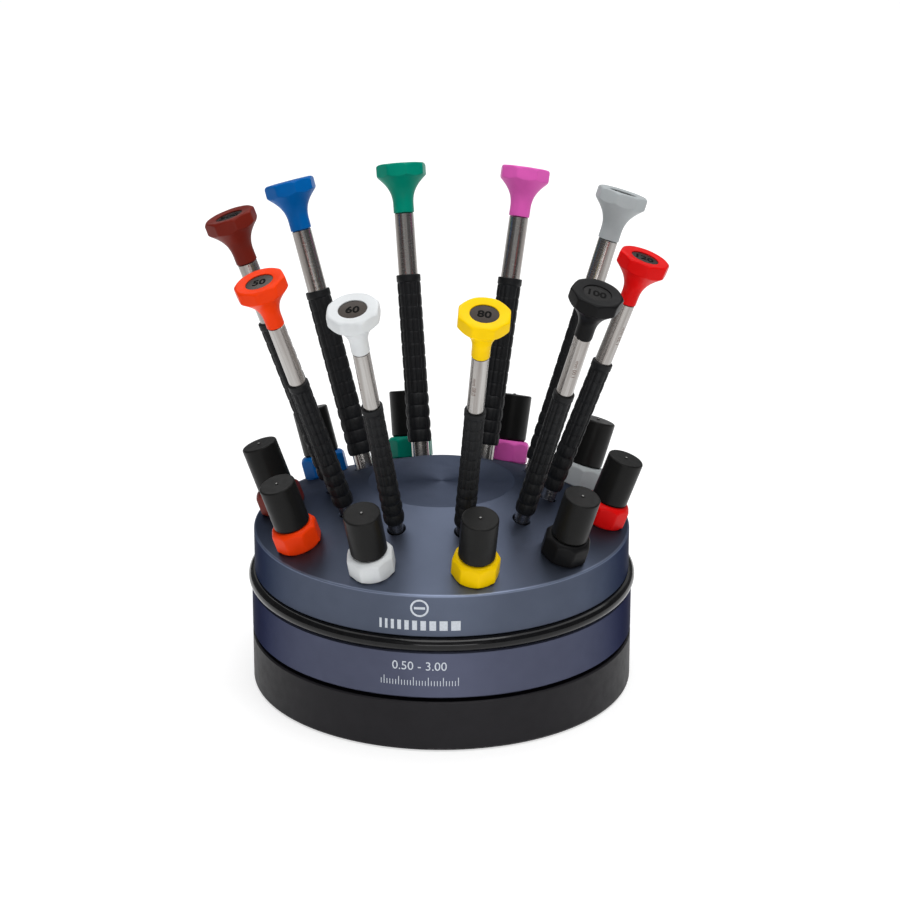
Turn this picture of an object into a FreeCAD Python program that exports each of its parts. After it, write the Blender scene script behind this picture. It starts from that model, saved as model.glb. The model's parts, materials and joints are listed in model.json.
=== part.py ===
import FreeCAD, Part
import math
import os
from types import SimpleNamespace
from FreeCAD import Vector

# Precision screwdriver set: ten drivers and ten spare-blade vials on a turntable stand.
# Millimetres. The origin is the centre of the foot pad's underside, +Z is up and -Y is the front.
# Every driver and vial is drawn upright about the Z axis, with zero height at the deck's surface,
# and is then leaned outward and carried to its place on the sloping deck.

os.makedirs("parts", exist_ok=True)

# ---- The stand ------------------------------------------------------------------------------

SLOPE = 21.5                # degrees: slope of the deck
LEAN = 20.0                 # degrees: outward lean of every driver and vial
DECK_RADIUS = 65.0
RIM_HEIGHT = 56.1           # outer edge of the sloping deck
FLAT_RADIUS = 25.2          # level disc at the middle of the deck
DECK_UNDERSIDE = 33.0
DECK_STEP = 41.1            # underside of the deck's overhang, top of the grip ring's groove
SPIGOT_RADIUS = 62.1        # part of the deck that the lower ring fits around
HUB_RADIUS = 14.0
HUB_UNDERSIDE = 31.6

RING_RADIUS = 66.0
RING_TOP = 36.2
RING_BOTTOM = 19.5
FLANGE_RADIUS = 52.0        # bore of the lower ring's inward flange
FLANGE_BOTTOM = 29.5
SKIRT_BORE = 62.2

GRIP_RING_SECTION = 2.4     # section radius of the rubber ring between deck and lower ring
GRIP_RING_RADIUS = 64.7

BASE_RADIUS = 66.0
BASE_BOTTOM = 0.3
BASE_ROUND_EDGE = 1.0
BASE_TOP = 18.1
BASE_LIP_TOP = 22.0         # inner lip that closes the gap under the turntable
BASE_LIP_RADIUS = 61.0
BASE_POCKET_RADIUS = 57.0
BASE_FLOOR = 5.0
BOSS_RADIUS = 16.0
BOSS_TOP = 30.0
RIB_COUNT = 6
RIB_THICKNESS = 3.0
RIB_TOP = 14.0

PAD_RADIUS = 59.0
PAD_THICKNESS = 2.0

SPINDLE_RADIUS = 5.0
SPINDLE_TOP = 45.6
SPINDLE_BOTTOM = 9.9
BUSH_RADIUS = 7.0
BUSH_BOTTOM = 10.0
RUNNING_FIT = 0.03          # radial clearance of a turning or sliding fit
WASHER_OUTER = 13.0
WASHER_INNER = 7.4
WASHER_TOP = 31.55
COUNTERBORE_RADIUS = 9.5

RETAINER_HEAD_RADIUS = 4.5
RETAINER_HEAD_BOTTOM = 5.6
RETAINER_FLANGE_RADIUS = 8.0
RETAINER_FLANGE_BOTTOM = 8.4
RETAINER_SHANK_RADIUS = 2.5
RETAINER_SHANK_TOP = 20.0

SCREW_COUNT = 4
SCREW_CIRCLE = 57.0
SCREW_RADIUS = 1.5
SCREW_HEAD_RADIUS = 2.8
SCREW_HEAD_HEIGHT = 1.8
SCREW_TOP = 41.0

# ---- Drivers and vials ----------------------------------------------------------------------

POSITION_STEP = 36.0        # ten places around the deck
FIRST_POSITION = 18.0       # from the front, towards +X
DRIVER_CIRCLE = 36.8        # where a driver's axis meets the deck
VIAL_CIRCLE = 55.3          # where a vial's axis meets the deck

BURIED_LENGTH = 20.0        # from the deck down to the blade's tip
NOSE_STRAIGHT_END = -13.5
NOSE_END = -16.0
NOSE_END_RADIUS = 1.9
BLADE_TOP = -7.0
BLADE_FLAT_LENGTH = 2.6
CLAMP_HEIGHT = -10.5
CLAMP_RADIUS = 0.8
HOLE_CLEARANCE = 0.3
HOLE_CHAMFER = 0.4

HEAD_CORNERS = 18.2         # across the octagon's corners
HEAD_CORNER_ROUND = 1.2
HEAD_RIM_HEIGHT = 3.9
HEAD_EDGE = 0.6
HEAD_DISH_DEPTH = 0.35
DISC_RADIUS = 4.75
DISC_DEPTH = 0.4
PIVOT_RADIUS = 1.6
PIVOT_LENGTH = 9.0
HEAD_GAP = 0.1

COLLAR_LENGTH = 2.6
LOWER_RINGS = 4
RING_PITCH = 4.35
BARREL_RISE = 0.15
RING_RISE = 0.25
FLUTE_COUNT = 10
FLUTE_RADIUS = 0.42

SEAT_RADIUS = 7.5           # shallow flat that each vial stands on
SEAT_DEPTH = 0.25
STOPPER_CORNERS = 16.5
STOPPER_CORNER_ROUND = 1.0
STOPPER_FOOT_RADIUS = 7.4
STOPPER_FOOT_HEIGHT = 0.5
STOPPER_LOWER_EDGE = 1.2
STOPPER_SHOULDER = 6.2
STOPPER_HEIGHT = 7.7
STOPPER_TOP_RADIUS = 6.8
SEAT_GAP = 0.03
PEG_RADIUS = 4.0
PEG_LENGTH = 6.0
PLUG_TOP = 12.0
TUBE_RADIUS = 6.25
TUBE_BORE = 5.2
TUBE_TOP = 24.2
TUBE_ROOF = 22.8
TUBE_EDGE = 0.6
NUB_RADIUS = 0.6
NUB_HEIGHT = 0.35

SMALL = SimpleNamespace(length=93.4, head_height=17.5, steel=22.6, grip_end=3.8, tube=2.85, nose=2.6,
                        core=2.3, grip=3.5, ring=3.6, neck=3.05, barrels=7)
LARGE = SimpleNamespace(length=104.0, head_height=17.5, steel=21.9, grip_end=5.1, tube=3.4, nose=3.1,
                        core=2.8, grip=4.2, ring=4.3, neck=3.65, barrels=9)

# Colour, blade width and driver size, then how far the head and the stopper happen to be turned,
# in degrees from a flat side that faces outward.
PLACES = [
    ("yellow", 0.80, SMALL, 31.0, 18.0),
    ("black", 1.00, SMALL, 20.0, 38.0),
    ("red", 1.20, SMALL, 37.0, 8.0),
    ("grey", 1.40, LARGE, 23.0, 36.0),
    ("lilac", 1.60, LARGE, 27.0, 17.0),
    ("green", 2.00, LARGE, 25.0, 26.0),
    ("blue", 2.50, LARGE, 36.0, 41.0),
    ("brown", 3.00, LARGE, 44.0, 4.0),
    ("orange", 0.50, SMALL, 30.0, 14.0),
    ("white", 0.60, SMALL, 19.0, 21.0),
]


class Outline:
    """Half-section of a turned piece, as radius and height, revolved about the Z axis."""

    def __init__(self, radius, height):
        self.here = Vector(radius, 0, height)
        self.start = self.here
        self.edges = []

    def line(self, radius, height):
        end = Vector(radius, 0, height)
        if end.isEqual(self.here, 1e-6):
            return self
        self.edges.append(Part.LineSegment(self.here, end).toShape())
        self.here = end
        return self

    def arc(self, via_radius, via_height, radius, height):
        end = Vector(radius, 0, height)
        self.edges.append(Part.Arc(self.here, Vector(via_radius, 0, via_height), end).toShape())
        self.here = end
        return self

    def curve(self, first, second, radius, height):
        end = Vector(radius, 0, height)
        bezier = Part.BezierCurve()
        bezier.setPoles([self.here, Vector(first[0], 0, first[1]), Vector(second[0], 0, second[1]), end])
        self.edges.append(bezier.toShape())
        self.here = end
        return self

    def turned(self):
        self.line(self.start.x, self.start.z)
        face = Part.Face(Part.Wire(self.edges))
        return face.revolve(Vector(0, 0, 0), Vector(0, 0, 1), 360)


def cylinder(radius, low, high):
    return Part.makeCylinder(radius, high - low, Vector(0, 0, low))


def turned_ring(inner, outer, low, high):
    return cylinder(outer, low, high).cut(cylinder(inner, low, high))


def spun(shape, degrees):
    turned = shape.copy()
    turned.rotate(Vector(0, 0, 0), Vector(0, 0, 1), degrees)
    return turned


def octagon(across_corners, corner_round, low, high):
    """Eight-sided prism with a flat facing the front and rounded corners."""
    radius = across_corners / 2
    corners = []
    for side in range(9):
        angle = math.radians(22.5 + 45 * side)
        corners.append(Vector(radius * math.cos(angle), radius * math.sin(angle), low))
    prism = Part.Face(Part.makePolygon(corners)).extrude(Vector(0, 0, high - low))
    upright = [edge for edge in prism.Edges if abs(edge.tangentAt(edge.FirstParameter).z) > 0.99]
    return prism.makeFillet(corner_round, upright)


def deck_height(radius):
    return RIM_HEIGHT + (DECK_RADIUS - radius) * math.tan(math.radians(SLOPE))


def seated(shape, circle, position):
    """Leans an upright piece outward and carries it to its place on the deck."""
    placed = shape.copy()
    placed.rotate(Vector(0, 0, 0), Vector(1, 0, 0), LEAN)
    placed.translate(Vector(0, -circle, deck_height(circle)))
    return spun(placed, FIRST_POSITION + POSITION_STEP * position)


def export(name, *solids):
    shape = solids[0] if len(solids) == 1 else Part.makeCompound(list(solids))
    shape.exportStep("parts/" + name + ".step")


# ---- Stand pieces ---------------------------------------------------------------------------

def foot_pad():
    return cylinder(PAD_RADIUS, 0, PAD_THICKNESS)


def base_body():
    inset = BASE_ROUND_EDGE * (1 - math.sqrt(0.5))
    outline = Outline(BUSH_RADIUS, BUSH_BOTTOM)
    outline.line(COUNTERBORE_RADIUS, BUSH_BOTTOM).line(COUNTERBORE_RADIUS, PAD_THICKNESS)
    outline.line(PAD_RADIUS, PAD_THICKNESS).line(PAD_RADIUS + 0.2, BASE_BOTTOM)
    outline.line(BASE_RADIUS - BASE_ROUND_EDGE, BASE_BOTTOM)
    outline.arc(BASE_RADIUS - inset, BASE_BOTTOM + inset, BASE_RADIUS, BASE_BOTTOM + BASE_ROUND_EDGE)
    outline.line(BASE_RADIUS, BASE_TOP - 0.5).line(BASE_RADIUS - 0.5, BASE_TOP)
    outline.line(BASE_LIP_RADIUS, BASE_TOP).line(BASE_LIP_RADIUS, BASE_LIP_TOP)
    outline.line(BASE_POCKET_RADIUS, BASE_LIP_TOP).line(BASE_POCKET_RADIUS, BASE_FLOOR)
    outline.line(BOSS_RADIUS, BASE_FLOOR).line(BOSS_RADIUS, BOSS_TOP).line(BUSH_RADIUS, BOSS_TOP)
    body = outline.turned()
    for number in range(RIB_COUNT):
        length = BASE_POCKET_RADIUS - BOSS_RADIUS + 2
        rib = Part.makeBox(length, RIB_THICKNESS, RIB_TOP - BASE_FLOOR + 1,
                           Vector(BOSS_RADIUS - 1, -RIB_THICKNESS / 2, BASE_FLOOR - 1))
        body = body.fuse(spun(rib, 360 / RIB_COUNT * number))
    return body.removeSplitter()


def spindle_bush():
    return turned_ring(SPINDLE_RADIUS + RUNNING_FIT, BUSH_RADIUS, BUSH_BOTTOM, BOSS_TOP)


def thrust_washer():
    return turned_ring(WASHER_INNER, WASHER_OUTER, BOSS_TOP, WASHER_TOP)


def spindle():
    outline = Outline(0, RETAINER_SHANK_TOP).line(RETAINER_SHANK_RADIUS, RETAINER_SHANK_TOP)
    outline.line(RETAINER_SHANK_RADIUS, SPINDLE_BOTTOM).line(SPINDLE_RADIUS - 0.5, SPINDLE_BOTTOM)
    outline.line(SPINDLE_RADIUS, SPINDLE_BOTTOM + 0.5).line(SPINDLE_RADIUS, SPINDLE_TOP - 0.5)
    outline.line(SPINDLE_RADIUS - 0.5, SPINDLE_TOP).line(0, SPINDLE_TOP)
    return outline.turned()


def retaining_screw():
    socket_radius = 2.0
    socket_top = RETAINER_HEAD_BOTTOM + 1.8
    outline = Outline(0, RETAINER_SHANK_TOP).line(RETAINER_SHANK_RADIUS, RETAINER_SHANK_TOP)
    outline.line(RETAINER_SHANK_RADIUS, SPINDLE_BOTTOM).line(RETAINER_FLANGE_RADIUS, SPINDLE_BOTTOM)
    outline.line(RETAINER_FLANGE_RADIUS, RETAINER_FLANGE_BOTTOM)
    outline.line(RETAINER_HEAD_RADIUS, RETAINER_FLANGE_BOTTOM)
    outline.line(RETAINER_HEAD_RADIUS, RETAINER_HEAD_BOTTOM).line(0, RETAINER_HEAD_BOTTOM)
    hexagon = [Vector(socket_radius * math.cos(math.radians(60 * side)),
                      socket_radius * math.sin(math.radians(60 * side)),
                      RETAINER_HEAD_BOTTOM) for side in range(7)]
    socket = Part.Face(Part.makePolygon(hexagon)).extrude(Vector(0, 0, socket_top - RETAINER_HEAD_BOTTOM))
    return outline.turned().cut(socket)


def lower_ring():
    edge = 0.5
    outline = Outline(SKIRT_BORE, RING_TOP).line(RING_RADIUS - edge, RING_TOP)
    outline.line(RING_RADIUS, RING_TOP - edge).line(RING_RADIUS, RING_BOTTOM + edge)
    outline.line(RING_RADIUS - edge, RING_BOTTOM).line(SKIRT_BORE, RING_BOTTOM)
    outline.line(SKIRT_BORE, FLANGE_BOTTOM).line(FLANGE_RADIUS, FLANGE_BOTTOM)
    outline.line(FLANGE_RADIUS, DECK_UNDERSIDE).line(SKIRT_BORE, DECK_UNDERSIDE)
    ring = outline.turned()
    for hole in screw_places(cylinder(SCREW_RADIUS, FLANGE_BOTTOM - 1, DECK_UNDERSIDE + 1)):
        ring = ring.cut(hole)
    return ring


def grip_ring():
    return Part.makeTorus(GRIP_RING_RADIUS, GRIP_RING_SECTION, Vector(0, 0, (DECK_STEP + RING_TOP) / 2))


def screw_places(shape):
    places = []
    for number in range(SCREW_COUNT):
        screw = shape.copy()
        screw.translate(Vector(SCREW_CIRCLE, 0, 0))
        places.append(spun(screw, 45 + 360 / SCREW_COUNT * number))
    return places


def ring_screws():
    head_bottom = FLANGE_BOTTOM - SCREW_HEAD_HEIGHT
    outline = Outline(0, SCREW_TOP).line(SCREW_RADIUS, SCREW_TOP).line(SCREW_RADIUS, FLANGE_BOTTOM)
    outline.line(SCREW_HEAD_RADIUS, FLANGE_BOTTOM)
    outline.arc(SCREW_HEAD_RADIUS * 0.93, head_bottom + 0.6, SCREW_HEAD_RADIUS * 0.6, head_bottom)
    outline.line(0, head_bottom)
    slot = Part.makeBox(8, 0.7, 0.9, Vector(-4, -0.35, head_bottom))
    return screw_places(outline.turned().cut(slot))


def deck():
    edge = 0.5
    outline = Outline(0, SPINDLE_TOP).line(SPINDLE_RADIUS, SPINDLE_TOP)
    outline.line(SPINDLE_RADIUS, HUB_UNDERSIDE).line(HUB_RADIUS, HUB_UNDERSIDE)
    outline.line(HUB_RADIUS, DECK_UNDERSIDE).line(SPIGOT_RADIUS, DECK_UNDERSIDE)
    outline.line(SPIGOT_RADIUS, DECK_STEP).line(DECK_RADIUS - edge, DECK_STEP)
    outline.line(DECK_RADIUS, DECK_STEP + edge).line(DECK_RADIUS, RIM_HEIGHT - edge)
    outline.arc(DECK_RADIUS - 0.12, RIM_HEIGHT - 0.05, DECK_RADIUS - edge, deck_height(DECK_RADIUS - edge))
    outline.line(FLAT_RADIUS, deck_height(FLAT_RADIUS)).line(0, deck_height(FLAT_RADIUS))
    body = outline.turned()
    for hole in screw_places(cylinder(SCREW_RADIUS, DECK_UNDERSIDE - 1, SCREW_TOP)):
        body = body.cut(hole)
    for position, (colour, width, size, head_turn, stopper_turn) in enumerate(PLACES):
        body = body.cut(seated(driver_socket(size), DRIVER_CIRCLE, position))
        body = body.cut(seated(vial_socket(), VIAL_CIRCLE, position))
    return body


def driver_socket(size):
    """Blind hole with a small chamfer at its mouth."""
    radius = size.nose + HOLE_CLEARANCE
    outline = Outline(0, -BURIED_LENGTH - SEAT_GAP).line(radius, -BURIED_LENGTH - SEAT_GAP)
    outline.line(radius, -HOLE_CHAMFER).line(radius + HOLE_CHAMFER + 1, 1).line(0, 1)
    return outline.turned()


def vial_socket():
    """Blind hole for the stopper's peg, in a shallow flat seat."""
    hole = cylinder(PEG_RADIUS + 0.1, -PEG_LENGTH - SEAT_DEPTH - 0.3, 0)
    return hole.fuse(cylinder(SEAT_RADIUS, -SEAT_DEPTH, 2))


# ---- Driver pieces --------------------------------------------------------------------------

def head_bottom(size):
    return size.length - size.head_height + HEAD_GAP


def grip_top(size):
    return size.length - size.head_height - size.steel


def handle_body(size, blade_radius):
    """Steel body: nose, core under the grip, bright shaft and the pivot for the head."""
    shaft_top = size.length - size.head_height
    outline = Outline(0, BLADE_TOP).line(blade_radius, BLADE_TOP).line(blade_radius, NOSE_END)
    outline.line(NOSE_END_RADIUS, NOSE_END).line(size.nose, NOSE_STRAIGHT_END)
    outline.line(size.nose, size.grip_end).line(size.core, size.grip_end)
    outline.line(size.core, grip_top(size)).line(size.tube, grip_top(size))
    outline.line(size.tube, shaft_top - 0.3).line(size.tube - 0.3, shaft_top)
    outline.line(PIVOT_RADIUS, shaft_top).line(PIVOT_RADIUS, shaft_top + PIVOT_LENGTH - 0.3)
    outline.line(PIVOT_RADIUS - 0.3, shaft_top + PIVOT_LENGTH).line(0, shaft_top + PIVOT_LENGTH)
    body = outline.turned()
    return body.cut(clamp_bore(size, 0))


def clamp_bore(size, start):
    """Radial cylinder towards the back of the nose, for the grub screw that clamps the blade."""
    return Part.makeCylinder(CLAMP_RADIUS, size.nose + 1 - start, Vector(0, start, CLAMP_HEIGHT),
                             Vector(0, 1, 0))


def clamp_screw(size, blade_radius):
    body = clamp_bore(size, blade_radius * 0.8)
    body = body.common(cylinder(size.nose, NOSE_STRAIGHT_END, 0))
    return body.cut(cylinder(blade_radius, NOSE_END, 0))


def blade(width, radius):
    """Round rod whose end is ground to two flats, as wide as the blade's nominal size."""
    tip = -BURIED_LENGTH
    thickness = max(0.12, 0.22 * width)
    rod = cylinder(radius, tip, BLADE_TOP)
    wedge = [Vector(0, -thickness / 2, tip), Vector(0, thickness / 2, tip),
             Vector(0, radius, tip + BLADE_FLAT_LENGTH), Vector(0, radius, BLADE_TOP),
             Vector(0, -radius, BLADE_TOP), Vector(0, -radius, tip + BLADE_FLAT_LENGTH),
             Vector(0, -thickness / 2, tip)]
    profile = Part.Face(Part.makePolygon(wedge))
    profile.translate(Vector(-radius, 0, 0))
    return rod.common(profile.extrude(Vector(2 * radius, 0, 0)))


def grip(size):
    """Rubber sleeve: a collar, a fluted length of shallow barrels and four rings at the lower end."""
    low = size.grip_end
    high = grip_top(size)
    rings_top = low + LOWER_RINGS * RING_PITCH
    barrel = (high - COLLAR_LENGTH - rings_top) / size.barrels
    outline = Outline(size.core, low).line(size.ring - RING_RISE, low)
    for number in range(LOWER_RINGS):
        bottom = low + number * RING_PITCH
        outline.arc(size.ring, bottom + RING_PITCH / 2, size.ring - RING_RISE, bottom + RING_PITCH)
    outline.line(size.grip - BARREL_RISE, rings_top)
    for number in range(size.barrels):
        bottom = rings_top + number * barrel
        outline.arc(size.grip, bottom + barrel / 2, size.grip - BARREL_RISE, bottom + barrel)
    outline.line(size.grip + 0.1, high - COLLAR_LENGTH + 0.3).line(size.grip + 0.1, high - 0.4)
    outline.line(size.grip - 0.3, high).line(size.core, high)
    sleeve = outline.turned()
    for number in range(FLUTE_COUNT):
        flute = Part.makeCylinder(FLUTE_RADIUS, size.barrels * barrel,
                                  Vector(size.grip + 0.1, 0, rings_top))
        sleeve = sleeve.cut(spun(flute, 360 / FLUTE_COUNT * number))
    return sleeve


def swivel_head(size, turn):
    """Octagonal head that flares out of a round neck, with a recess for its size disc."""
    low = head_bottom(size)
    top = size.length
    rim_bottom = top - HEAD_RIM_HEIGHT
    reach = HEAD_CORNERS / 2
    outline = Outline(PIVOT_RADIUS + RUNNING_FIT, low).line(size.neck - 0.2, low)
    outline.line(size.neck, low + 0.2).line(size.neck, top - 14.2)
    outline.curve((size.neck, top - 9.2), (6.2, top - 6.8), reach, rim_bottom - 0.2)
    outline.line(reach, top).line(reach - 1.8, top)
    outline.line(DISC_RADIUS, top - HEAD_DISH_DEPTH).line(DISC_RADIUS, top - HEAD_DISH_DEPTH - DISC_DEPTH)
    outline.line(0, top - HEAD_DISH_DEPTH - DISC_DEPTH)
    outline.line(0, low + PIVOT_LENGTH + 0.3).line(PIVOT_RADIUS + RUNNING_FIT, low + PIVOT_LENGTH + 0.3)
    prism = octagon(HEAD_CORNERS, HEAD_CORNER_ROUND, low - 1, top)
    rim = [edge for edge in prism.Edges if edge.CenterOfMass.z > top - 0.01]
    prism = prism.makeChamfer(HEAD_EDGE, rim)
    return spun(outline.turned().common(prism), turn)


# ---- Vial pieces ----------------------------------------------------------------------------

def vial_stopper():
    """Eight-sided stopper: a peg below for the deck, a plug above for the tube."""
    reach = STOPPER_CORNERS / 2
    low = SEAT_GAP - SEAT_DEPTH
    outline = Outline(0, -PEG_LENGTH).line(PEG_RADIUS - 0.4, -PEG_LENGTH)
    outline.line(PEG_RADIUS, -PEG_LENGTH + 0.4).line(PEG_RADIUS, low)
    outline.line(STOPPER_FOOT_RADIUS, low).line(STOPPER_FOOT_RADIUS, STOPPER_FOOT_HEIGHT)
    outline.line(reach, STOPPER_LOWER_EDGE)
    outline.line(reach, STOPPER_SHOULDER).line(STOPPER_TOP_RADIUS, STOPPER_HEIGHT)
    outline.line(TUBE_BORE - 0.05, STOPPER_HEIGHT).line(TUBE_BORE - 0.05, PLUG_TOP - 0.5)
    outline.line(TUBE_BORE - 0.55, PLUG_TOP).line(0, PLUG_TOP)
    prism = octagon(STOPPER_CORNERS, STOPPER_CORNER_ROUND, -PEG_LENGTH - 1, PLUG_TOP + 1)
    return outline.turned().common(prism)


def vial_tube():
    """Round container, closed at the top, with the nub that its moulding leaves."""
    low = STOPPER_HEIGHT + SEAT_GAP
    inset = TUBE_EDGE * (1 - math.sqrt(0.5))
    outline = Outline(TUBE_BORE, low).line(TUBE_RADIUS - 0.5, low).line(TUBE_RADIUS, low + 0.7)
    outline.line(TUBE_RADIUS, TUBE_TOP - TUBE_EDGE)
    outline.arc(TUBE_RADIUS - inset, TUBE_TOP - inset, TUBE_RADIUS - TUBE_EDGE, TUBE_TOP)
    outline.line(NUB_RADIUS, TUBE_TOP)
    outline.curve((NUB_RADIUS, TUBE_TOP + NUB_HEIGHT * 0.8), (NUB_RADIUS * 0.5, TUBE_TOP + NUB_HEIGHT),
                  0, TUBE_TOP + NUB_HEIGHT)
    outline.line(0, TUBE_ROOF).line(TUBE_BORE, TUBE_ROOF)
    return outline.turned()


# ---- Assembly -------------------------------------------------------------------------------

export("foot_pad", foot_pad())
export("base_body", base_body())
export("spindle_bush", spindle_bush())
export("thrust_washer", thrust_washer())
export("spindle", spindle())
export("retaining_screw", retaining_screw())
export("lower_ring", lower_ring())
export("grip_ring", grip_ring())
export("ring_screws", *ring_screws())
export("deck", deck())

stopper = vial_stopper()
tube = vial_tube()
for size in (SMALL, LARGE):
    size.sleeve = grip(size)

for position, (colour, width, size, head_turn, stopper_turn) in enumerate(PLACES):
    blade_radius = max(width / 2, 0.4)
    steel = [handle_body(size, blade_radius), blade(width, blade_radius), clamp_screw(size, blade_radius)]
    export(colour + "_handle", *[seated(piece, DRIVER_CIRCLE, position) for piece in steel])
    export(colour + "_grip", seated(size.sleeve, DRIVER_CIRCLE, position))
    export(colour + "_head", seated(swivel_head(size, head_turn), DRIVER_CIRCLE, position))
    export(colour + "_vial_stopper", seated(spun(stopper, stopper_turn), VIAL_CIRCLE, position))
    export(colour + "_vial_tube", seated(tube, VIAL_CIRCLE, position))
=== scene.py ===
import json
import math
import random

import bmesh
import bpy
from mathutils import Matrix, Vector


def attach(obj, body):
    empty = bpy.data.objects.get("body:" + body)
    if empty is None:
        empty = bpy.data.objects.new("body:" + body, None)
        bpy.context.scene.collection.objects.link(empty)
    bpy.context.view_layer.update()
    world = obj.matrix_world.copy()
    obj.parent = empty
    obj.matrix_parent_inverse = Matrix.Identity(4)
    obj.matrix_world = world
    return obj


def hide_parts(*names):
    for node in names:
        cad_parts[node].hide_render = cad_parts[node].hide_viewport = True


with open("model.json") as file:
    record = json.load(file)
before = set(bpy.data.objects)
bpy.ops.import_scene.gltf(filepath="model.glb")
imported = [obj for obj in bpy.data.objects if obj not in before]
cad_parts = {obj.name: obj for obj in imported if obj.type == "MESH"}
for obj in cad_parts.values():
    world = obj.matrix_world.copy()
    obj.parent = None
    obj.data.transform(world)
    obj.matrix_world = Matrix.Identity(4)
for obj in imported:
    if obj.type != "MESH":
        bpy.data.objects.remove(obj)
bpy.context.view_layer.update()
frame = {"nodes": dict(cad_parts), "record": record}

random.seed(7)

MM = 0.001
record = frame["record"]
joints = {joint["name"]: joint for joint in record["behaviour"]["joints"]}
nodes = frame["nodes"]

# ---- Sizes of the solids and of the details drawn here, in metres ---------------------------

SLOPE = math.radians(21.5)        # of the deck
LEAN = math.radians(20)           # outward, of every driver and vial
RIM_HEIGHT = 56.1 * MM            # outer edge of the sloping deck
DECK_RADIUS = 65 * MM
RING_RADIUS = 66 * MM
DRIVER_CIRCLE = 36.8 * MM         # where a driver's axis meets the deck
VIAL_CIRCLE = 55.3 * MM           # where a vial's axis meets the deck

HEAD_CORNERS = 18.2 * MM          # across the octagon's corners
HEAD_CORNER_ROUND = 1.2 * MM
HEAD_RIM_HEIGHT = 3.9 * MM
HEAD_TOP_RADIUS = 7.9 * MM        # where the turned edge of the top begins
HEAD_TOP_SLOPE = 0.55
HEAD_DISH_DEPTH = 0.35 * MM
FLARE_BOTTOM = 14.2 * MM          # heights of the flare's poles, down from the head's top
FLARE_BEND = 9.2 * MM
FLARE_SPREAD = 6.8 * MM
FLARE_SPREAD_RADIUS = 6.2 * MM
FLARE_RIM_GAP = 0.2 * MM
PIVOT_BORE = 1.63 * MM
PIVOT_LENGTH = 9 * MM
PIVOT_END_GAP = 0.3 * MM
HEAD_GAP = 0.1 * MM               # between head and shaft

DISC_RADIUS = 4.75 * MM
DISC_FIT = 0.05 * MM
DISC_DEPTH = 0.4 * MM             # of its seat
DISC_FILL = 0.3                   # part of the seat's depth that the disc fills
DISC_CROWN = 0.06 * MM
NUMERAL_SIZE = 4.6 * MM
NUMERAL_THICKNESS = 0.06 * MM
NUMERAL_BOLD = 0.13 * MM

COLLAR = 2.6 * MM                 # plain upper end of the grip
COLLAR_STEP = 0.12 * MM
COLLAR_RISE = 0.22 * MM
LOWER_RINGS = 4
RING_PITCH = 4.35 * MM
RING_NOTCH = 0.5 * MM             # depth between the lower rings
RING_FLUTE = 0.16 * MM
BARREL_NOTCH = 0.13 * MM          # depth and half width of the cuts between the fluted barrels
BARREL_NOTCH_WIDTH = 0.28 * MM
BARREL_WAIST = 0.08 * MM
FLUTES = 10
FLUTE_DEPTH = 0.38 * MM
FLUTE_WIDTH = 0.42 * MM

ETCHING_SIZE = 2.0 * MM
ETCHING_THICKNESS = 0.012 * MM
ETCHING_LIFT = 0.005 * MM
ETCHING_TURN = math.radians(-38)

PEG_RADIUS = 4 * MM
PEG_LENGTH = 6 * MM
STOPPER_CORNERS = 16.5 * MM
STOPPER_CORNER_ROUND = 1.0 * MM
STOPPER_FOOT_RADIUS = 7.4 * MM
STOPPER_FOOT = -0.22 * MM
STOPPER_LOWER_EDGE = 0.3 * MM
STOPPER_SHOULDER = 6.2 * MM
STOPPER_TOP_RADIUS = 6.8 * MM
STOPPER_HEIGHT = 7.7 * MM
PLUG_RADIUS = 5.15 * MM
PLUG_TOP = 12 * MM
TUBE_TOP = 24.2 * MM
NUB_HEIGHT = 0.35 * MM
# Size of the pale dome painted on the nub as its highlight
HIGHLIGHT_FOOT_RADIUS = 0.42 * MM
HIGHLIGHT_TOP_RADIUS = 0.36 * MM

SPARE_BLADES = 4                  # in each vial
SPARE_LENGTH = 11 * MM
SPARE_CIRCLE = 2.75 * MM
SPARE_BURIED = 1 * MM
SPARE_ROUND_PART = 0.76           # of the length; the rest is ground flat
SPARE_THINNING = 0.78

MARK_THICKNESS = 0.03 * MM
MARK_LIFT = 0.02 * MM
MARK_HALF_WIDTH = 15 * MM
MARK_STRIP = 1.0 * MM             # width of the strips that follow the round wall

SMALL = dict(length=93.4 * MM, head=17.5 * MM, steel=22.6 * MM, grip_end=3.8 * MM, tube=2.85 * MM,
             core=2.3 * MM, grip=3.5 * MM, ring=3.6 * MM, neck=3.05 * MM, barrels=7)
LARGE = dict(length=104.0 * MM, head=17.5 * MM, steel=21.9 * MM, grip_end=5.1 * MM, tube=3.4 * MM,
             core=2.8 * MM, grip=4.2 * MM, ring=4.3 * MM, neck=3.65 * MM, barrels=9)

# Colour, blade width in millimetres, driver size, then the turns of head and stopper in degrees.
PLACES = [
    ("yellow", 0.80, SMALL, 31.0, 18.0),
    ("black", 1.00, SMALL, 20.0, 38.0),
    ("red", 1.20, SMALL, 37.0, 8.0),
    ("grey", 1.40, LARGE, 23.0, 36.0),
    ("lilac", 1.60, LARGE, 27.0, 17.0),
    ("green", 2.00, LARGE, 25.0, 26.0),
    ("blue", 2.50, LARGE, 36.0, 41.0),
    ("brown", 3.00, LARGE, 44.0, 4.0),
    ("orange", 0.50, SMALL, 30.0, 14.0),
    ("white", 0.60, SMALL, 19.0, 21.0),
]

PLASTIC = {
    "yellow": (0.90, 0.58, 0.0),
    "black": (0.008, 0.008, 0.0085),
    "red": (0.68, 0.004, 0.004),
    "grey": (0.40, 0.43, 0.44),
    "lilac": (0.72, 0.11, 0.46),
    "green": (0.0, 0.24, 0.16),
    "blue": (0.0, 0.105, 0.37),
    "brown": (0.15, 0.014, 0.008),
    "orange": (0.84, 0.045, 0.003),
    "white": (0.66, 0.68, 0.69),
}


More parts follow.
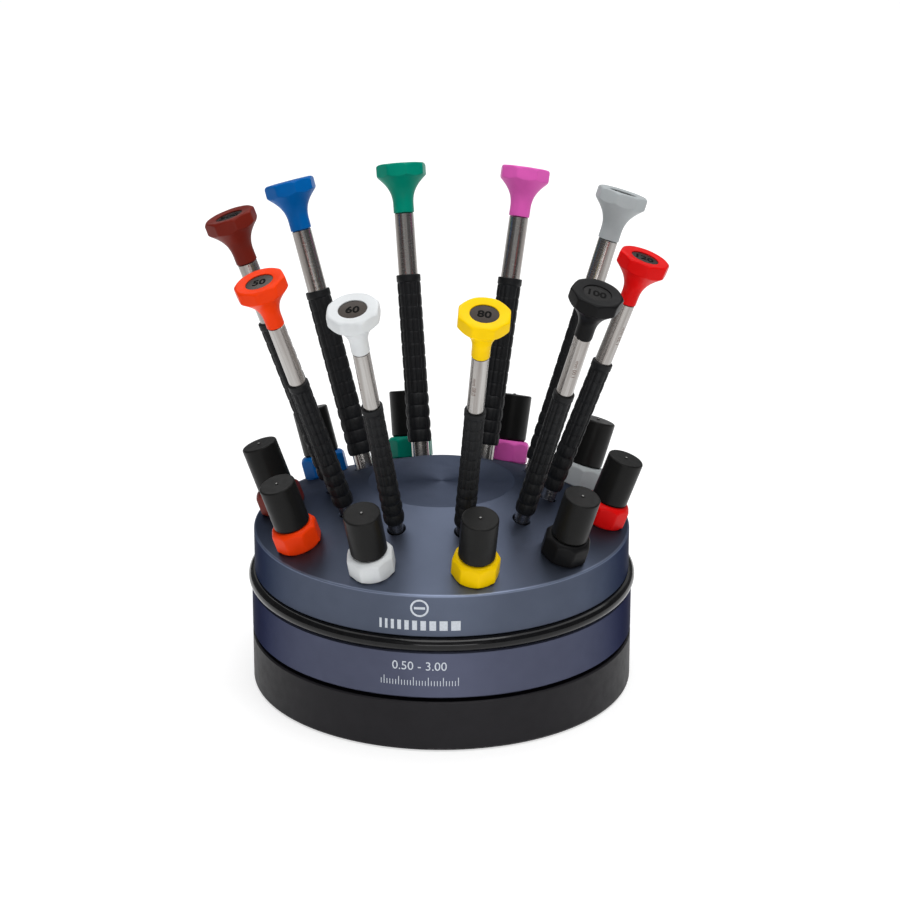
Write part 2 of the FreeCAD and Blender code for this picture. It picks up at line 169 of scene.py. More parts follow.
def leaning_frame(colour, circle):
    """Where an axis meets the deck: local Z runs up the axis and local -Y faces outward."""
    axis = Vector(joints[colour + "_head_spin"]["axis"])
    turn = math.atan2(axis.x, -axis.y)
    place = Vector((circle * math.sin(turn), -circle * math.cos(turn),
                    RIM_HEIGHT + (DECK_RADIUS - circle) * math.tan(SLOPE)))
    return Matrix.Translation(place) @ Matrix.Rotation(turn, 4, "Z") @ Matrix.Rotation(LEAN, 4, "X")


def driver_frame(colour):
    return leaning_frame(colour, DRIVER_CIRCLE)


def vial_frame(colour):
    return leaning_frame(colour, VIAL_CIRCLE)


# ---- Materials ------------------------------------------------------------------------------

class Paint:
    """Node material with a Principled shader and a few helpers for procedural detail."""

    def __init__(self, name):
        self.material = bpy.data.materials.new(name)
        self.material.use_nodes = True
        self.tree = self.material.node_tree
        self.shader = self.tree.nodes["Principled BSDF"]
        coordinates = self.add("ShaderNodeTexCoord")
        self.place = coordinates.outputs["Object"]

    def add(self, kind, **values):
        node = self.tree.nodes.new(kind)
        for key, value in values.items():
            setattr(node, key, value)
        return node

    def link(self, source, target):
        self.tree.links.new(source, target)

    def set(self, **values):
        for key, value in values.items():
            socket = self.shader.inputs[key.replace("_", " ")]
            socket.default_value = (*value, 1.0) if isinstance(value, tuple) else value
        return self

    def mapped(self, matrix=None, scale=(1, 1, 1)):
        """Coordinates in another frame, for detail that follows a leaning axis."""
        source = self.place
        if matrix is not None:
            inverse = matrix.inverted()
            turned = self.add("ShaderNodeMapping")
            turned.inputs["Location"].default_value = inverse.translation
            turned.inputs["Rotation"].default_value = inverse.to_euler()
            self.link(source, turned.inputs["Vector"])
            source = turned.outputs["Vector"]
        stretched = self.add("ShaderNodeMapping")
        stretched.inputs["Scale"].default_value = scale
        self.link(source, stretched.inputs["Vector"])
        return stretched.outputs["Vector"]

    def noise(self, scale, detail=3.0, place=None, roughness=0.5):
        node = self.add("ShaderNodeTexNoise")
        node.inputs["Scale"].default_value = scale
        node.inputs["Detail"].default_value = detail
        node.inputs["Roughness"].default_value = roughness
        self.link(place or self.place, node.inputs["Vector"])
        return node.outputs["Fac"]

    def remap(self, value, low, high, source_low=0.3, source_high=0.7):
        node = self.add("ShaderNodeMapRange")
        node.inputs["From Min"].default_value = source_low
        node.inputs["From Max"].default_value = source_high
        node.inputs["To Min"].default_value = low
        node.inputs["To Max"].default_value = high
        self.link(value, node.inputs["Value"])
        return node.outputs["Result"]

    def colour(self, value, dark, light):
        """Base colour that runs from dark to light with a texture value."""
        ramp = self.add("ShaderNodeValToRGB")
        ramp.color_ramp.elements[0].position = 0.3
        ramp.color_ramp.elements[0].color = (*dark, 1)
        ramp.color_ramp.elements[1].position = 0.7
        ramp.color_ramp.elements[1].color = (*light, 1)
        self.link(value, ramp.inputs["Fac"])
        self.link(ramp.outputs["Color"], self.shader.inputs["Base Color"])

    def lighten(self, value, colour):
        """Mixes another base colour in where value is 1."""
        mix = self.add("ShaderNodeMix", data_type="RGBA")
        self.link(value, mix.inputs[0])
        self.link(self.shader.inputs["Base Color"].links[0].from_socket, mix.inputs[6])
        mix.inputs[7].default_value = (*colour, 1)
        self.link(mix.outputs[2], self.shader.inputs["Base Color"])

    def radius(self):
        """Distance from the stand's axis."""
        flat = self.add("ShaderNodeVectorMath", operation="MULTIPLY")
        flat.inputs[1].default_value = (1, 1, 0)
        self.link(self.place, flat.inputs[0])
        length = self.add("ShaderNodeVectorMath", operation="LENGTH")
        self.link(flat.outputs["Vector"], length.inputs[0])
        return length.outputs["Value"]

    def height(self):
        """Height above the stand's foot."""
        parts = self.add("ShaderNodeSeparateXYZ")
        self.link(self.place, parts.inputs["Vector"])
        return parts.outputs["Z"]

    def rough(self, value, low, high):
        self.link(self.remap(value, low, high), self.shader.inputs["Roughness"])

    def bump(self, value, distance, strength=1.0):
        node = self.add("ShaderNodeBump")
        node.inputs["Distance"].default_value = distance
        node.inputs["Strength"].default_value = strength
        self.link(value, node.inputs["Height"])
        if self.shader.inputs["Normal"].is_linked:
            self.link(self.shader.inputs["Normal"].links[0].from_socket, node.inputs["Normal"])
        self.link(node.outputs["Normal"], self.shader.inputs["Normal"])


def shade(colour, factor):
    return tuple(min(1.0, channel * factor) for channel in colour)


def anodised(name, colour):
    """Satin anodised aluminium, turned around the stand's axis, with a painted highlight along the
    deck's edge.
    """
    paint = Paint(name).set(Metallic=1.0, Roughness=0.4, Anisotropic=0.5, Anisotropic_Rotation=0.25,
                            Specular_Tint=(0.2, 0.2, 0.22))
    lathe = paint.add("ShaderNodeTangent", direction_type="RADIAL", axis="Z")
    paint.link(lathe.outputs["Tangent"], paint.shader.inputs["Tangent"])
    # Painted highlight: a paler band of colour along the deck's rounded top edge, standing in for
    # the light it catches.
    outermost = paint.remap(paint.radius(), 0, 1, DECK_RADIUS - 0.8 * MM, DECK_RADIUS - 0.4 * MM)
    uppermost = paint.remap(paint.height(), 0, 1, RIM_HEIGHT - 0.7 * MM, RIM_HEIGHT - 0.4 * MM)
    edge = paint.add("ShaderNodeMath", operation="MULTIPLY")
    paint.link(outermost, edge.inputs[0])
    paint.link(uppermost, edge.inputs[1])
    paint.colour(paint.noise(60, 4), shade(colour, 0.97), shade(colour, 1.03))
    # Mixes in the painted highlight, 2.2 times paler, over the edge band.
    paint.lighten(edge.outputs["Value"], shade(colour, 2.2))
    paint.rough(paint.noise(220, 5), 0.43, 0.48)
    paint.bump(paint.noise(5200, 2, roughness=0.6), 0.00002, 0.35)
    return paint.material


def base_paint():
    """Matt black paint with a fine grain."""
    paint = Paint("base_paint").set(Roughness=0.5, Specular_IOR_Level=0.2)
    paint.colour(paint.noise(90, 4), (0.0072, 0.0064, 0.0084), (0.0092, 0.0083, 0.0108))
    paint.rough(paint.noise(300, 4), 0.48, 0.56)
    paint.bump(paint.noise(2600, 3, roughness=0.6), 0.00006, 0.5)
    return paint.material


def rubber(name, colour, rough_low, rough_high, grain, gloss=0.22):
    """Black rubber, cloudy in tone, with a grain as deep as given."""
    paint = Paint(name).set(Roughness=rough_low, Specular_IOR_Level=gloss)
    paint.colour(paint.noise(420, 4), shade(colour, 0.7), shade(colour, 1.35))
    paint.rough(paint.noise(700, 4), rough_low, rough_high)
    paint.bump(paint.noise(2400, 3), grain, 0.6)
    return paint.material


def moulded(name, colour, rough_low=0.30, rough_high=0.42, grain=0.00001, gloss=0.07):
    """Moulded plastic with a fine satin skin and slight colour drift."""
    paint = Paint(name).set(Roughness=rough_low, Specular_IOR_Level=gloss)
    paint.colour(paint.noise(150, 3), shade(colour, 0.95), shade(colour, 1.05))
    paint.rough(paint.noise(500, 4), rough_low, rough_high)
    paint.bump(paint.noise(3200, 3), grain, 0.6)
    return paint.material


def turned_steel(name, matrix):
    """Polished steel: painted reflection streaks, dark and light, along the piece's own axis, and
    fine turned rings around it.
    """
    paint = Paint(name).set(Metallic=1.0, Roughness=0.16)
    rings = paint.noise(1.0, 3, paint.mapped(matrix, (300, 300, 9000)))
    # Painted reflections: base colour streaks along the axis, dark brown to pale, stand in for the
    # surroundings mirrored in the polished shaft.
    painted_reflection_streaks = paint.noise(1.0, 3, paint.mapped(matrix, (420, 420, 14)), roughness=0.6)
    paint.colour(painted_reflection_streaks, (0.21, 0.185, 0.17), (0.47, 0.46, 0.445))
    paint.rough(rings, 0.20, 0.28)
    paint.bump(rings, 0.0000015, 0.4)
    return paint.material


def plain_metal(name, colour, rough_low, rough_high):
    paint = Paint(name).set(Metallic=1.0)
    paint.colour(paint.noise(500, 4), shade(colour, 0.9), shade(colour, 1.08))
    paint.rough(paint.noise(900, 4), rough_low, rough_high)
    paint.bump(paint.noise(4000, 3), 0.000008, 0.5)
    return paint.material


def printed(name, colour, roughness=0.5):
    """Screen-printed or etched mark, a little uneven in tone."""
    paint = Paint(name).set(Roughness=roughness, Specular_IOR_Level=0.08)
    paint.colour(paint.noise(1500, 3), shade(colour, 0.88), shade(colour, 1.05))
    paint.bump(paint.noise(6000, 2), 0.000005, 0.4)
    return paint.material


def paint_node(node, material):
    for slot in nodes[node].material_slots:
        slot.material = material


# ---- Mesh helpers ---------------------------------------------------------------------------

def eased(corners, steps=5):
    """Outline through corners (radius, height, ease), each corner turned into a short curve."""
    points = []
    for number, (radius, height, ease) in enumerate(corners):
        here = Vector((radius, height))
        if not ease or number in (0, len(corners) - 1):
            points.append(here)
            continue
        before = Vector(corners[number - 1][:2]) - here
        after = Vector(corners[number + 1][:2]) - here
        reach = min(ease, before.length * 0.49, after.length * 0.49)
        start = here + before.normalized() * reach
        end = here + after.normalized() * reach
        for step in range(steps + 1):
            t = step / steps
            points.append(start * (1 - t) ** 2 + here * 2 * t * (1 - t) + end * t ** 2)
    return points


def finish_piece(name, form, matrix, body, material, crease=35):
    """Turns a form into a named piece with smooth shading, which rides on a body."""
    bmesh.ops.remove_doubles(form, verts=form.verts, dist=1e-7)
    bmesh.ops.recalc_face_normals(form, faces=form.faces)
    mesh = bpy.data.meshes.new(name)
    form.to_mesh(mesh)
    form.free()
    mesh.transform(matrix)
    mesh.shade_smooth()
    mesh.set_sharp_from_angle(angle=math.radians(crease))
    mesh.materials.append(material)
    piece = bpy.data.objects.new(name, mesh)
    bpy.context.scene.collection.objects.link(piece)
    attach(piece, body)
    return piece


def lofted(outline_at, sides, closed=False):
    """Surface around local Z whose outline may change with the angle.

    outline_at(angle) gives the same number of (radius, height) points at every angle. Points on the
    axis become one vertex. A closed outline joins its last point to its first.
    """
    form = bmesh.new()
    columns = []
    poles = {}
    for side in range(sides):
        angle = 2 * math.pi * side / sides
        column = []
        for row, (radius, height) in enumerate(outline_at(angle)):
            if radius < 1e-9:
                if row not in poles:
                    poles[row] = form.verts.new((0, 0, height))
                column.append(poles[row])
            else:
                place = (radius * math.sin(angle), -radius * math.cos(angle), height)
                column.append(form.verts.new(place))
        columns.append(column)
    rows = len(columns[0])
    for side in range(sides):
        here, beside = columns[side], columns[(side + 1) % sides]
        for row in range(rows if closed else rows - 1):
            corners = [here[row], beside[row], beside[(row + 1) % rows], here[(row + 1) % rows]]
            distinct = list(dict.fromkeys(corners))
            if len(distinct) > 2:
                form.faces.new(distinct)
    return form


def sliced(form, axis, low, high, step):
    """Cuts a form into strips, so that it can follow a round surface."""
    normal = Vector((0, 0, 0))
    normal[axis] = 1
    place = low + step
    while place < high:
        geometry = form.verts[:] + form.edges[:] + form.faces[:]
        bmesh.ops.bisect_plane(form, geom=geometry, plane_co=normal * place, plane_no=normal,
                               dist=1e-9)
        place += step
    return form


def lettering(text, size, thickness, bold=0.0):
    """Numerals as a thin solid in the XY plane, centred on the origin."""
    curve = bpy.data.curves.new("numerals", "FONT")
    curve.body = text
    curve.size = size
    curve.extrude = thickness / 2
    curve.offset = bold
    curve.resolution_u = 6
    curve.align_x = "CENTER"
    curve.align_y = "CENTER"
    source = bpy.data.objects.new("numerals", curve)
    bpy.context.scene.collection.objects.link(source)
    bpy.context.view_layer.update()
    graph = bpy.context.evaluated_depsgraph_get()
    mesh = bpy.data.meshes.new_from_object(source.evaluated_get(graph))
    form = bmesh.new()
    form.from_mesh(mesh)
    bpy.data.objects.remove(source)
    bpy.data.curves.remove(curve)
    bpy.data.meshes.remove(mesh)
    bmesh.ops.remove_doubles(form, verts=form.verts, dist=1e-8)
    centre_form(form)
    return form


def centre_form(form):
    """Moves a form so that the middle of its box lies on the origin in X and Y."""
    for axis in (0, 1):
        values = [vertex.co[axis] for vertex in form.verts]
        middle = (min(values) + max(values)) / 2
        for vertex in form.verts:
            vertex.co[axis] -= middle


def merge_form(form, other):
    """Adds another form to a form, and frees the other one."""
    mesh = bpy.data.meshes.new("merged")
    other.to_mesh(mesh)
    other.free()
    form.from_mesh(mesh)
    bpy.data.meshes.remove(mesh)


def add_plate(form, x, y, width, height, thickness):
    """Small rectangular plate for printed bars."""
    made = bmesh.ops.create_cube(form, size=1.0)
    for vertex in made["verts"]:
        vertex.co = Vector((x + vertex.co.x * width, y + vertex.co.y * height,
                            vertex.co.z * thickness))


def wrap_around(form, radius, across):
    """Bends a flat form around local Z: axis `across` becomes arc length, the other one height."""
    along = 1 - across
    for vertex in form.verts:
        angle = vertex.co[across] / radius
        height = vertex.co[along] if across == 0 else -vertex.co[along]
        reach = radius + vertex.co.z
        vertex.co = Vector((reach * math.sin(angle), -reach * math.cos(angle), height))
    return form


# ---- Driver pieces --------------------------------------------------------------------------

def octagon_reach(angle, across_corners, corner_round):
    """Distance from the axis to the side of a rounded octagon with a flat at angle 0."""
    half = math.radians(22.5)
    apothem = across_corners / 2 * math.cos(half)
    offset = abs((angle + half) % (2 * half) - half)
    tangent = math.atan((apothem - corner_round) * math.tan(half) / apothem)
    if offset <= tangent:
        return apothem / math.cos(offset)
    centre = (apothem - corner_round) / math.cos(half)
    away = half - offset
    return centre * math.cos(away) + math.sqrt(corner_round ** 2 - (centre * math.sin(away)) ** 2)


def bezier(a, b, c, d, t):
    return a * (1 - t) ** 3 + 3 * b * t * (1 - t) ** 2 + 3 * c * t ** 2 * (1 - t) + d * t ** 3


def head_outline(size, reach):
    """Outline of a head at one angle, from the pivot's bore out to the rim and over the top."""
    top = size["length"]
    low = top - size["head"] + HEAD_GAP
    neck = size["neck"]
    flare = ((neck, top - FLARE_BOTTOM), (neck, top - FLARE_BEND),
             (FLARE_SPREAD_RADIUS, top - FLARE_SPREAD),
             (HEAD_CORNERS / 2, top - HEAD_RIM_HEIGHT - FLARE_RIM_GAP))
    first, last = 0.0, 1.0
    for _ in range(30):
        middle = (first + last) / 2
        if bezier(*[pole[0] for pole in flare], middle) < reach:
            first = middle
        else:
            last = middle
    samples = 16
    curve = [tuple(bezier(*[pole[axis] for pole in flare], first * step / samples)
                   for axis in (0, 1)) for step in range(samples + 1)]
    bore_top = low + PIVOT_LENGTH + PIVOT_END_GAP
    corners = [(0, bore_top, 0), (PIVOT_BORE, bore_top, 0), (PIVOT_BORE, low, 0),
               (neck, low, 0.25 * MM)]
    corners += [(radius, height, 0) for radius, height in curve[:-1]]
    corners += [(*curve[-1], 0.55 * MM),
                (reach, top - (reach - HEAD_TOP_RADIUS) * HEAD_TOP_SLOPE, 0.6 * MM),
                (HEAD_TOP_RADIUS, top, 0.5 * MM),
                (DISC_RADIUS + DISC_FIT, top - HEAD_DISH_DEPTH, 0.2 * MM),
                (DISC_RADIUS + DISC_FIT, top - HEAD_DISH_DEPTH - DISC_DEPTH, 0),
                (0, top - HEAD_DISH_DEPTH - DISC_DEPTH, 0)]
    return eased(corners)


def make_head(colour, size, turn, material):
    """Moulded swivel head: a round neck that flares into an octagon with a dished top."""
    turned = math.radians(turn)

    def outline_at(angle):
        return head_outline(size, octagon_reach(angle - turned, HEAD_CORNERS, HEAD_CORNER_ROUND))

    piece = finish_piece(colour + "_head_moulding", lofted(outline_at, 144), driver_frame(colour),
                         colour + "_swivel", material)
    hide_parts(colour + "_head")


def make_size_disc(colour, width, size, disc_material, ink):
    """Dark disc set into the head, with the blade's width in hundredths of a millimetre."""
    floor = size["length"] - HEAD_DISH_DEPTH - DISC_DEPTH
    top = floor + DISC_DEPTH * DISC_FILL
    underside = floor + 0.01 * MM
    disc = eased([(0, underside, 0), (DISC_RADIUS, underside, 0),
                  (DISC_RADIUS, top, 0.12 * MM), (0, top + DISC_CROWN, 0)])
    finish_piece(colour + "_size_disc", lofted(lambda angle: disc, 64), driver_frame(colour),
                 colour + "_swivel", disc_material)
    numerals = lettering(str(round(width * 100)), NUMERAL_SIZE, NUMERAL_THICKNESS, NUMERAL_BOLD)
    raised = driver_frame(colour) @ Matrix.Translation((0, 0, top + DISC_CROWN))
    facing_front = Matrix.Rotation(-raised.to_euler().z, 4, "Z")
    raised = raised @ facing_front
    finish_piece(colour + "_size_numerals", numerals, raised, colour + "_swivel", ink)


def grip_radius(size, height, angle):
    """Radius of the rubber sleeve: rings, then fluted barrels, then a plain collar on top."""
    low = size["grip_end"]
    top = size["length"] - size["head"] - size["steel"]
    rings_top = low + LOWER_RINGS * RING_PITCH
    collar_bottom = top - COLLAR
    arc = (angle * FLUTES / (2 * math.pi) + 0.5) % 1 - 0.5
    arc *= 2 * math.pi * size["grip"] / FLUTES
    flute = math.exp(-(arc / FLUTE_WIDTH) ** 2)
    if height < rings_top:
        part = (height - low) / RING_PITCH % 1
        swell = math.sin(math.pi * part) ** 0.55
        return size["ring"] - RING_NOTCH * (1 - swell) - RING_FLUTE * swell * flute
    if height < collar_bottom:
        pitch = (collar_bottom - rings_top) / size["barrels"]
        part = (height - rings_top) / pitch % 1
        notch = min(part, 1 - part) * pitch
        dip = BARREL_NOTCH * math.exp(-(notch / BARREL_NOTCH_WIDTH) ** 2)
        waist = BARREL_WAIST * (1 - math.sin(math.pi * part))
        edge = min(1, (collar_bottom - height) / (0.8 * MM))
        return size["grip"] - dip * (1 - 0.5 * flute) - waist - FLUTE_DEPTH * flute * max(edge, 0)
    edge = min(1, (height - collar_bottom) / (0.35 * MM))
    return size["grip"] - COLLAR_STEP + COLLAR_RISE * max(edge, 0)


def grip_heights(size):
    """Heights of the sleeve's rings of vertices, closer together at the notches."""
    low = size["grip_end"]
    top = size["length"] - size["head"] - size["steel"]
    rings_top = low + LOWER_RINGS * RING_PITCH
    pitch = (top - COLLAR - rings_top) / size["barrels"]
    parts = (0.012, 0.04, 0.07, 0.11, 0.16, 0.25, 0.37, 0.5, 0.63, 0.75, 0.84, 0.89, 0.93, 0.96,
             0.988)
    heights = [low + (number + part) * RING_PITCH
               for number in range(LOWER_RINGS) for part in parts]
    heights += [rings_top + (number + part) * pitch
                for number in range(size["barrels"]) for part in parts]
    heights += [top - COLLAR + rise * MM for rise in (0.02, 0.15, 0.35, 1.2, 1.9)]
    return heights


def make_grip(colour, size, material):
    """Rubber sleeve of the grip, a closed form around the steel core."""
    heights = grip_heights(size)
    low = size["grip_end"]
    top = size["length"] - size["head"] - size["steel"]
    rim = size["grip"] + 0.1 * MM

    def outline_at(angle):
        foot = grip_radius(size, heights[0], angle)
        side = [Vector((grip_radius(size, height, angle), height)) for height in heights]
        head = eased([(rim, top - 0.7 * MM, 0), (rim, top, 0.45 * MM), (size["core"], top, 0)])
        return [Vector((size["core"], low)), Vector((foot - 0.15 * MM, low)), *side, *head]

    piece = finish_piece(colour + "_grip_sleeve", lofted(outline_at, 120, closed=True),
                         driver_frame(colour), colour + "_driver", material, crease=60)
    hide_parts(colour + "_grip")


def make_etching(colour, width, size, ink):
    """Blade width in millimetres, etched along the bright shaft."""
    form = lettering(f"{width:.2f} mm", ETCHING_SIZE, ETCHING_THICKNESS)
    sliced(form, 1, -1.6 * MM, 1.6 * MM, 0.15 * MM)
    for vertex in form.verts:
        vertex.co = Vector((-vertex.co.x, vertex.co.y, vertex.co.z))
    bent = wrap_around(form, size["tube"] + ETCHING_LIFT, 1)
    middle = size["length"] - size["head"] - size["steel"] / 2
    place = driver_frame(colour) @ Matrix.Translation((0, 0, middle))
    place = place @ Matrix.Rotation(ETCHING_TURN, 4, "Z")
    finish_piece(colour + "_shaft_etching", bent, place, colour + "_driver", ink, crease=80)


# ---- Vial pieces ----------------------------------------------------------------------------

def stopper_outline(reach):
    """Outline of a stopper at one angle: peg, foot, side, sloping shoulder and plug."""
    slope = (STOPPER_HEIGHT - STOPPER_SHOULDER) / (STOPPER_CORNERS / 2 - STOPPER_TOP_RADIUS)
    shoulder = STOPPER_SHOULDER + (STOPPER_CORNERS / 2 - reach) * slope
    return eased([(0, -PEG_LENGTH, 0), (PEG_RADIUS, -PEG_LENGTH, 0.4 * MM),
                  (PEG_RADIUS, STOPPER_FOOT, 0), (STOPPER_FOOT_RADIUS, STOPPER_FOOT, 0),
                  (STOPPER_FOOT_RADIUS, STOPPER_LOWER_EDGE, 0),
                  (reach, STOPPER_LOWER_EDGE, 0.5 * MM), (reach, shoulder, 0.6 * MM),
                  (STOPPER_TOP_RADIUS, STOPPER_HEIGHT, 0.5 * MM), (PLUG_RADIUS, STOPPER_HEIGHT, 0),
                  (PLUG_RADIUS, PLUG_TOP, 0.5 * MM), (0, PLUG_TOP, 0)])


def make_stopper(colour, turn, material):
    """Octagonal stopper that stands in the deck and holds the tube."""
    turned = math.radians(turn)

    def outline_at(angle):
        return stopper_outline(octagon_reach(angle - turned, STOPPER_CORNERS, STOPPER_CORNER_ROUND))

    piece = finish_piece(colour + "_stopper_moulding", lofted(outline_at, 144), vial_frame(colour),
                         colour + "_vial", material)
    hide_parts(colour + "_vial_stopper")


def make_gate_mark(colour, material):
    """Painted highlight: a pale dome on top of the tube's nub, standing in for the light it
    catches.
    """
    low = TUBE_TOP + NUB_HEIGHT * 0.5
    shoulder = TUBE_TOP + NUB_HEIGHT
    top = TUBE_TOP + NUB_HEIGHT * 1.1
    dome = eased([(0, low, 0), (HIGHLIGHT_FOOT_RADIUS, low, 0), (HIGHLIGHT_TOP_RADIUS, shoulder, 0.15 * MM),
                  (0, top, 0)])
    finish_piece(colour + "_nub_highlight", lofted(lambda angle: dome, 24), vial_frame(colour),
                 colour + "_tube", material)


def make_spare_blades(colour, width, material):
    """Four spare blades that stand in the stopper's plug, flats ground at their free ends."""
    radius = max(width, 0.8) / 2 * MM
    form = bmesh.new()
    outline = eased([(0, 0, 0), (radius, 0, 0), (radius, SPARE_LENGTH * SPARE_ROUND_PART, 0),
                     (radius, SPARE_LENGTH, 0), (0, SPARE_LENGTH, 0)])
    for number in range(SPARE_BLADES):
        rod = lofted(lambda angle: outline, 24)
        for vertex in rod.verts:
            beyond_round = max(0.0, vertex.co.z / SPARE_LENGTH - SPARE_ROUND_PART)
            vertex.co.y *= 1 - SPARE_THINNING * beyond_round / (1 - SPARE_ROUND_PART)
        angle = math.radians(45 + 90 * number)
        offset = Vector((SPARE_CIRCLE * math.cos(angle), SPARE_CIRCLE * math.sin(angle),
                         PLUG_TOP - SPARE_BURIED))
        spin = Matrix.Rotation(random.uniform(0, math.pi), 3, "Z")
        for vertex in rod.verts:
            vertex.co = spin @ vertex.co + offset
        merge_form(form, rod)
    finish_piece(colour + "_spare_blades", form, vial_frame(colour), colour + "_vial", material)


# ---- Marks on the stand ---------------------------------------------------------------------

def make_deck_mark(ink):
    """Slotted disc over a row of ten bars that widen like the set's blades."""
    form = bmesh.new()
    emblem_height = 51.6 * MM
    bar_height, bar_length, gap = 45.4 * MM, 3.4 * MM, 1.15 * MM
    outer, inner, slot_half, half = 3.1 * MM, 2.45 * MM, 0.42 * MM, MARK_THICKNESS / 2
    rows = [(outer, -half), (outer, half), (inner, half), (inner, -half)]
    ring = lofted(lambda angle: rows, 72, closed=True)
    merge_form(form, ring)
    add_plate(form, 0, 0, inner * 1.5, slot_half * 2, MARK_THICKNESS)
    for vertex in form.verts:
        vertex.co.y += emblem_height
    widths = [width * MM * 0.95 + 0.3 * MM for width in sorted(place[1] for place in PLACES)]
    start = -(sum(widths) + gap * (len(widths) - 1)) / 2
    for width in widths:
        add_plate(form, start + width / 2, bar_height, width, bar_length, MARK_THICKNESS)
        start += width + gap
    sliced(form, 0, -MARK_HALF_WIDTH, MARK_HALF_WIDTH, MARK_STRIP)
    bent = wrap_around(form, DECK_RADIUS + MARK_LIFT, 0)
    finish_piece("deck_mark", bent, Matrix.Identity(4), "turntable", ink, crease=80)


def make_ring_mark(ink):
    """Range of blade widths in millimetres, over a fine rule."""
    text_size, text_height = 4.3 * MM, 31.2 * MM
    ticks, tick_width, rule_height = 27, 0.24 * MM, 25.6 * MM
    long_tick, short_tick = 3.0 * MM, 1.8 * MM
    form = lettering("0.50 - 3.00", text_size, MARK_THICKNESS)
    for vertex in form.verts:
        vertex.co.y += text_height
    for number in range(ticks):
        tall = long_tick if number % 5 == 1 else short_tick
        across = (number - (ticks - 1) / 2) * MM
        middle = rule_height - (long_tick - tall) / 2
        add_plate(form, across, middle, tick_width, tall, MARK_THICKNESS)
    sliced(form, 0, -MARK_HALF_WIDTH, MARK_HALF_WIDTH, MARK_STRIP)
    bent = wrap_around(form, RING_RADIUS + MARK_LIFT, 0)
    finish_piece("ring_mark", bent, Matrix.Identity(4), "turntable", ink, crease=80)


# ---- Studio ---------------------------------------------------------------------------------

def make_camera():
    """Long lens from in front and a little to the right, looking down at the deck."""
    azimuth, heading = math.radians(6.475), math.radians(6.475 - 0.153)
    downward = math.radians(20.61)
    distance = 1087.5 * MM
    height = RIM_HEIGHT + 435.9 * MM
    camera = bpy.data.objects.new("camera", bpy.data.cameras.new("camera"))
    bpy.context.scene.collection.objects.link(camera)
    camera.location = (distance * math.sin(azimuth), -distance * math.cos(azimuth), height)
    camera.rotation_euler = (math.radians(90) - downward, 0, heading)
    camera.data.lens = 135.1
    camera.data.sensor_width = 36
    camera.data.clip_start = 0.01
    camera.data.clip_end = 20
    bpy.context.scene.camera = camera


def softbox(name, place, width, height, power):
    """Rectangular soft light that faces the stand: metres and watts."""
    data = bpy.data.lights.new(name, "AREA")
    data.shape = "RECTANGLE"
    data.size = width
    data.size_y = height
    data.energy = power
    lamp = bpy.data.objects.new(name, data)
    bpy.context.scene.collection.objects.link(lamp)
    lamp.location = place
    towards_stand = Vector((0, 0, 70 * MM)) - Vector(place)
    lamp.rotation_euler = towards_stand.to_track_quat("-Z", "Y").to_euler()


def make_studio():
    """Pale floor that glows a little, under soft lights."""
    world = bpy.data.worlds.new("studio")
    bpy.context.scene.world = world
    world.use_nodes = True
    background = world.node_tree.nodes["Background"]
    background.inputs["Color"].default_value = (0.95, 0.97, 1.0, 1)
    background.inputs["Strength"].default_value = 0.12
    softbox("top_softbox", (0.05, 0.35, 1.3), 2.2, 1.8, 20)
    softbox("high_softbox", (0.15, -0.40, 1.2), 0.9, 0.6, 6)
    softbox("back_softbox", (0.0, 1.3, 0.9), 1.6, 0.8, 1.5)
    softbox("front_softbox", (0.12, -1.3, 0.75), 1.4, 0.6, 0.8)
    softbox("low_softbox", (0.15, -0.95, 0.14), 0.6, 0.2, 1.6)
    make_floor(40)
    bpy.context.scene.view_settings.view_transform = "Standard"
    bpy.context.scene.view_settings.look = "None"


def make_floor(half_width):
    """Pale matt floor, nearly white in its own light."""
    form = bmesh.new()
    bmesh.ops.create_grid(form, x_segments=8, y_segments=8, size=half_width)
    mesh = bpy.data.meshes.new("floor")
    form.to_mesh(mesh)
    form.free()
    paint = Paint("floor_paint").set(Roughness=0.7, Emission_Color=(1.0, 1.0, 1.0),
                                     Emission_Strength=0.6)
    paint.colour(paint.noise(3, 2), (0.53, 0.53, 0.53), (0.55, 0.55, 0.55))
    mesh.materials.append(paint.material)
    floor = bpy.data.objects.new("floor", mesh)
    bpy.context.scene.collection.objects.link(floor)


# ---- Assembly -------------------------------------------------------------------------------

make_camera()
make_studio()

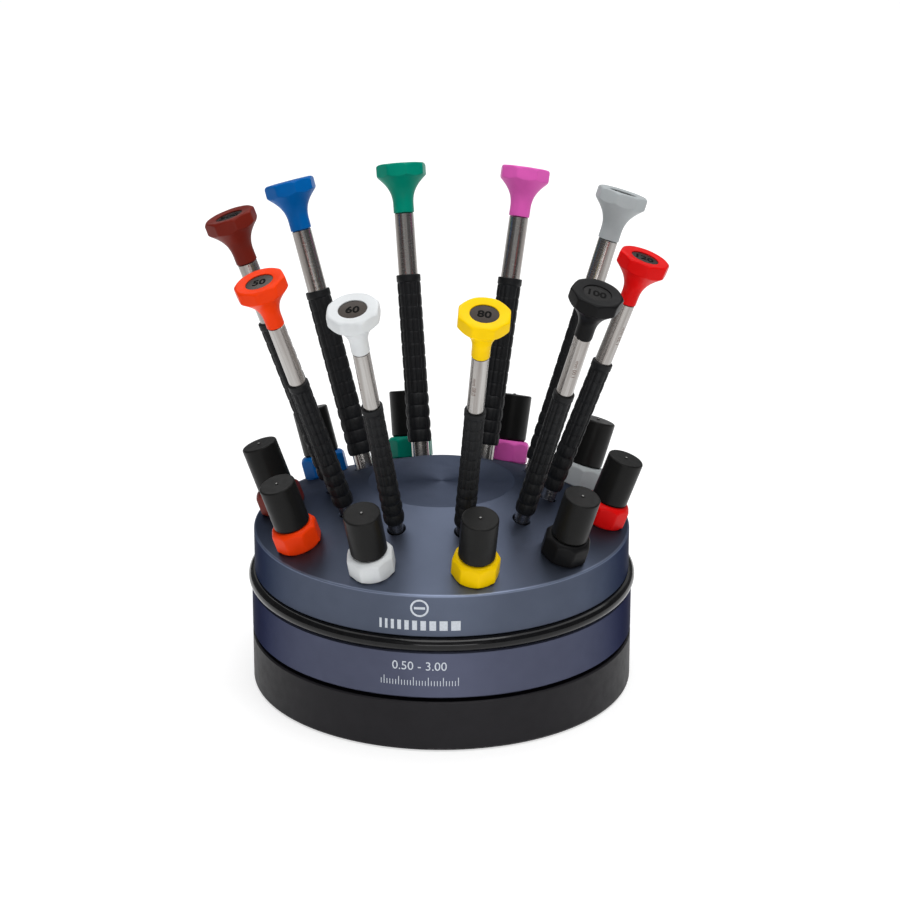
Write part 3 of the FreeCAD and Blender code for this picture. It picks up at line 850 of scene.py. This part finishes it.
deck_finish = anodised("anodised_deck", (0.090, 0.106, 0.148))
ring_finish = anodised("anodised_ring", (0.085, 0.093, 0.140))
sleeve_rubber = rubber("sleeve_rubber", (0.0045, 0.005, 0.006), 0.44, 0.62, 0.00012, gloss=0.22)
ring_rubber = rubber("ring_rubber", (0.005, 0.005, 0.0055), 0.10, 0.17, 0.000001, gloss=0.25)
pad_rubber = rubber("pad_rubber", (0.02, 0.02, 0.02), 0.7, 0.9, 0.00005)
tube_plastic = moulded("tube_plastic", (0.009, 0.009, 0.0088), 0.32, 0.44, 0.000008, gloss=0.12)
# Pale grey plastic for the painted highlight on each tube's nub.
nub_highlight_paint = moulded("nub_highlight_paint", (0.30, 0.30, 0.29))
screw_metal = plain_metal("screw_metal", (0.45, 0.45, 0.46), 0.25, 0.38)
disc_metal = plain_metal("disc_metal", (0.042, 0.035, 0.031), 0.20, 0.28)
black_disc = moulded("black_disc", (0.008, 0.0075, 0.0075), 0.25, 0.35, gloss=0.08)
numeral_ink = printed("numeral_ink", (0.001, 0.001, 0.001), 0.7)
etch_ink = printed("etch_ink", (0.16, 0.10, 0.075), 0.5)
mark_ink = printed("mark_ink", (0.62, 0.66, 0.72), 0.55)

paint_node("deck", deck_finish)
paint_node("lower_ring", ring_finish)
paint_node("base_body", base_paint())
paint_node("foot_pad", pad_rubber)
paint_node("grip_ring", ring_rubber)
paint_node("spindle_bush", plain_metal("bush_bronze", (0.50, 0.30, 0.12), 0.35, 0.5))
paint_node("thrust_washer", moulded("washer_plastic", (0.82, 0.82, 0.80)))
for name in ("ring_screws", "spindle", "retaining_screw"):
    paint_node(name, screw_metal)

make_deck_mark(mark_ink)
make_ring_mark(mark_ink)

for colour, width, size, head_turn, stopper_turn in PLACES:
    steel = turned_steel("steel_" + colour, driver_frame(colour))
    plastic = moulded("plastic_" + colour, PLASTIC[colour])
    paint_node(colour + "_handle", steel)
    paint_node(colour + "_vial_tube", tube_plastic)
    make_head(colour, size, head_turn, plastic)
    disc_finish = black_disc if colour == "black" else disc_metal
    make_size_disc(colour, width, size, disc_finish, numeral_ink)
    make_grip(colour, size, sleeve_rubber)
    make_etching(colour, width, size, etch_ink)
    make_stopper(colour, stopper_turn, plastic)
    # Painted highlight on the nub at the top of the tube.
    make_gate_mark(colour, nub_highlight_paint)
    make_spare_blades(colour, width, screw_metal)
